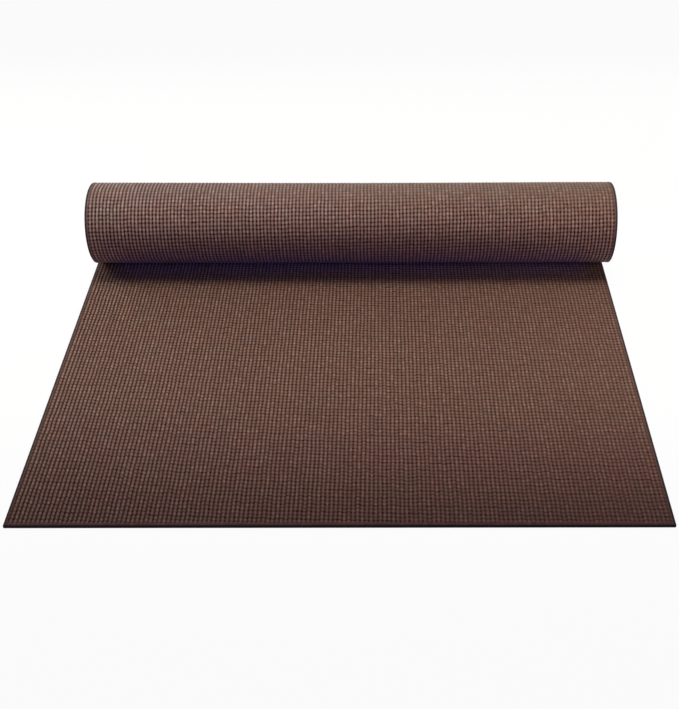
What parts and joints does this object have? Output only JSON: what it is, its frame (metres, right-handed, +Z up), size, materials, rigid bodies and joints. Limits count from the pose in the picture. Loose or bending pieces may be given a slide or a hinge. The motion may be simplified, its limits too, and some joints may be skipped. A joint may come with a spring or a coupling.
{
  "type": "yoga mat",
  "caption": "Foam exercise mat with a waffle-embossed face, laid out in front and wound into a roll at the back, for floor exercise.",
  "frame": {"origin": "on the floor, under the middle of the whole mat's bounding box", "axes": "+X to the right across the mat, +Y along the mat from its laid-out end towards the roll, +Z up"},
  "size_m": [0.6134, 0.4726, 0.099],
  "materials": {
    "upper_foam": "matt closed-cell foam, waffle-embossed",
    "lower_foam": "matt closed-cell foam, waffle-embossed",
    "scrim": "open polyester net, embedded"
  },
  "bodies": {
    "roll": {"lower_coat_rolled": "lower_foam", "scrim_rolled": "scrim", "upper_coat_rolled": "upper_foam"},
    "length_01": {"lower_coat_01": "lower_foam", "scrim_01": "scrim", "upper_coat_01": "upper_foam"},
    "length_02": {"lower_coat_02": "lower_foam", "scrim_02": "scrim", "upper_coat_02": "upper_foam"},
    "length_03": {"lower_coat_03": "lower_foam", "scrim_03": "scrim", "upper_coat_03": "upper_foam"},
    "length_04": {"lower_coat_04": "lower_foam", "scrim_04": "scrim", "upper_coat_04": "upper_foam"},
    "length_05": {"lower_coat_05": "lower_foam", "scrim_05": "scrim", "upper_coat_05": "upper_foam"},
    "length_06": {"lower_coat_06": "lower_foam", "scrim_06": "scrim", "upper_coat_06": "upper_foam"},
    "length_07": {"lower_coat_07": "lower_foam", "scrim_07": "scrim", "upper_coat_07": "upper_foam"},
    "length_08": {"lower_coat_08": "lower_foam", "scrim_08": "scrim", "upper_coat_08": "upper_foam"},
    "length_09": {"lower_coat_09": "lower_foam", "scrim_09": "scrim", "upper_coat_09": "upper_foam"},
    "length_10": {"lower_coat_10": "lower_foam", "scrim_10": "scrim", "upper_coat_10": "upper_foam"},
    "length_11": {"lower_coat_11": "lower_foam", "scrim_11": "scrim", "upper_coat_11": "upper_foam"},
    "length_12": {"lower_coat_12": "lower_foam", "scrim_12": "scrim", "upper_coat_12": "upper_foam"},
    "length_13": {"lower_coat_13": "lower_foam", "scrim_13": "scrim", "upper_coat_13": "upper_foam"},
    "length_14": {"lower_coat_14": "lower_foam", "scrim_14": "scrim", "upper_coat_14": "upper_foam"},
    "length_15": {"lower_coat_15": "lower_foam", "scrim_15": "scrim", "upper_coat_15": "upper_foam"}
  },
  "joints": [
    {"name": "bend_01", "type": "hinge", "parent": "roll", "child": "length_01", "pos_m": [-0.0017, 0.17317, 0.004], "axis": [-1, 0, 0], "range_deg": [0, 32.2]},
    {"name": "bend_02", "type": "hinge", "parent": "length_01", "child": "length_02", "pos_m": [-0.0017, 0.14588, 0.004], "axis": [-1, 0, 0], "range_deg": [0, 31.4]},
    {"name": "bend_03", "type": "hinge", "parent": "length_02", "child": "length_03", "pos_m": [-0.0017, 0.11857, 0.004], "axis": [-1, 0, 0], "range_deg": [0, 32.4]},
    {"name": "bend_04", "type": "hinge", "parent": "length_03", "child": "length_04", "pos_m": [-0.0017, 0.09127, 0.004], "axis": [-1, 0, 0], "range_deg": [0, 31.4]},
    {"name": "bend_05", "type": "hinge", "parent": "length_04", "child": "length_05", "pos_m": [-0.0017, 0.06398, 0.004], "axis": [-1, 0, 0], "range_deg": [0, 32.4]},
    {"name": "bend_06", "type": "hinge", "parent": "length_05", "child": "length_06", "pos_m": [-0.0017, 0.03667, 0.004], "axis": [-1, 0, 0], "range_deg": [0, 31.5]},
    {"name": "bend_07", "type": "hinge", "parent": "length_06", "child": "length_07", "pos_m": [-0.0017, 0.00937, 0.004], "axis": [-1, 0, 0], "range_deg": [0, 30]},
    {"name": "bend_08", "type": "hinge", "parent": "length_07", "child": "length_08", "pos_m": [-0.0017, -0.01792, 0.004], "axis": [-1, 0, 0], "range_deg": [0, 31.1]},
    {"name": "bend_09", "type": "hinge", "parent": "length_08", "child": "length_09", "pos_m": [-0.0017, -0.04523, 0.004], "axis": [-1, 0, 0], "range_deg": [0, 29.9]},
    {"name": "bend_10", "type": "hinge", "parent": "length_09", "child": "length_10", "pos_m": [-0.0017, -0.07253, 0.004], "axis": [-1, 0, 0], "range_deg": [0, 31.2]},
    {"name": "bend_11", "type": "hinge", "parent": "length_10", "child": "length_11", "pos_m": [-0.0017, -0.09982, 0.004], "axis": [-1, 0, 0], "range_deg": [0, 29.9]},
    {"name": "bend_12", "type": "hinge", "parent": "length_11", "child": "length_12", "pos_m": [-0.0017, -0.12712, 0.004], "axis": [-1, 0, 0], "range_deg": [0, 24]},
    {"name": "bend_13", "type": "hinge", "parent": "length_12", "child": "length_13", "pos_m": [-0.0017, -0.15443, 0.004], "axis": [-1, 0, 0], "range_deg": [0, 32.4]},
    {"name": "bend_14", "type": "hinge", "parent": "length_13", "child": "length_14", "pos_m": [-0.0017, -0.18172, 0.004], "axis": [-1, 0, 0], "range_deg": [0, 32.4]},
    {"name": "bend_15", "type": "hinge", "parent": "length_14", "child": "length_15", "pos_m": [-0.0017, -0.20902, 0.004], "axis": [-1, 0, 0], "range_deg": [0, 28.5]}
  ]
}
